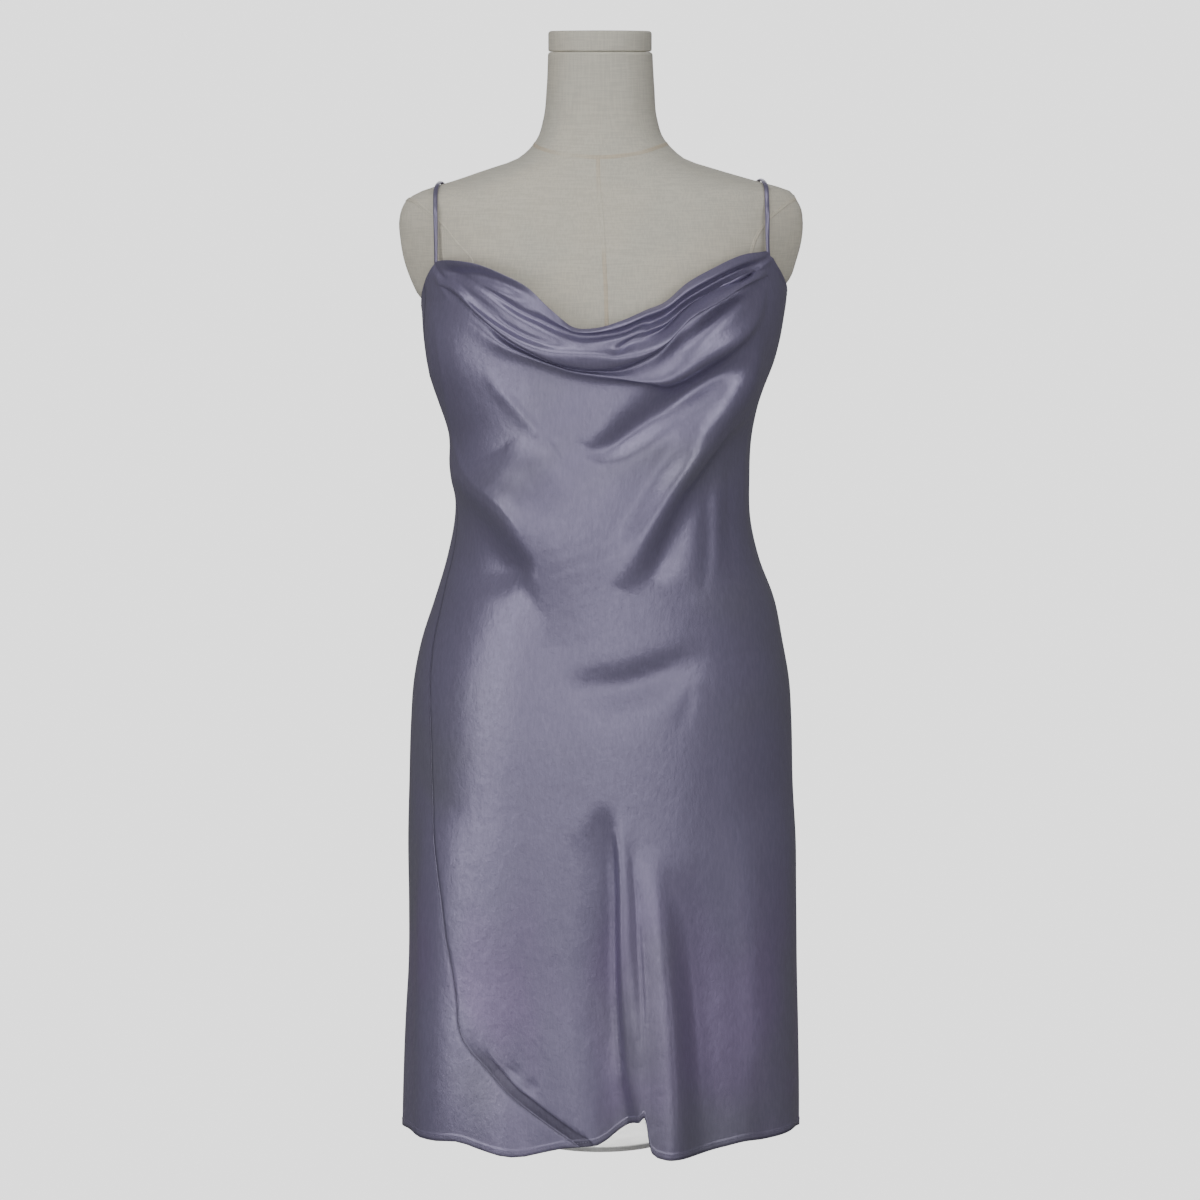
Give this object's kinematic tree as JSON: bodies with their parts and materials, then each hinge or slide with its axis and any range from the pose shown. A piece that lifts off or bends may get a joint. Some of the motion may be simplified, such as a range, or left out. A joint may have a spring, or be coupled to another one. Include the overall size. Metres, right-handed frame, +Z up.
{
  "type": "slip dress on dress form",
  "caption": "Knee-length slip dress with a draped cowl neckline and thin straps, standing filled out on a limbless dress form with a flat base.",
  "frame": {"origin": "centre of the base's underside, on the surface that the form stands on", "axes": "+Z up along the form's pole, the front of the dress faces -Y, +X to the right of someone looking at the front"},
  "size_m": [0.3964, 0.2958, 1.095],
  "materials": {
    "satin": "satin-faced bias cloth with a fine upright slub",
    "linen": "tight off-white linen cover",
    "stand": "pale satin paint"
  },
  "bodies": {
    "root": {"dress_front": "satin", "dress_back": "satin", "dress_strap_left": "satin", "dress_strap_right": "satin", "form_torso": "linen", "form_neck_cap": "linen", "form_pole": "stand", "form_base": "stand"}
  },
  "joints": []
}
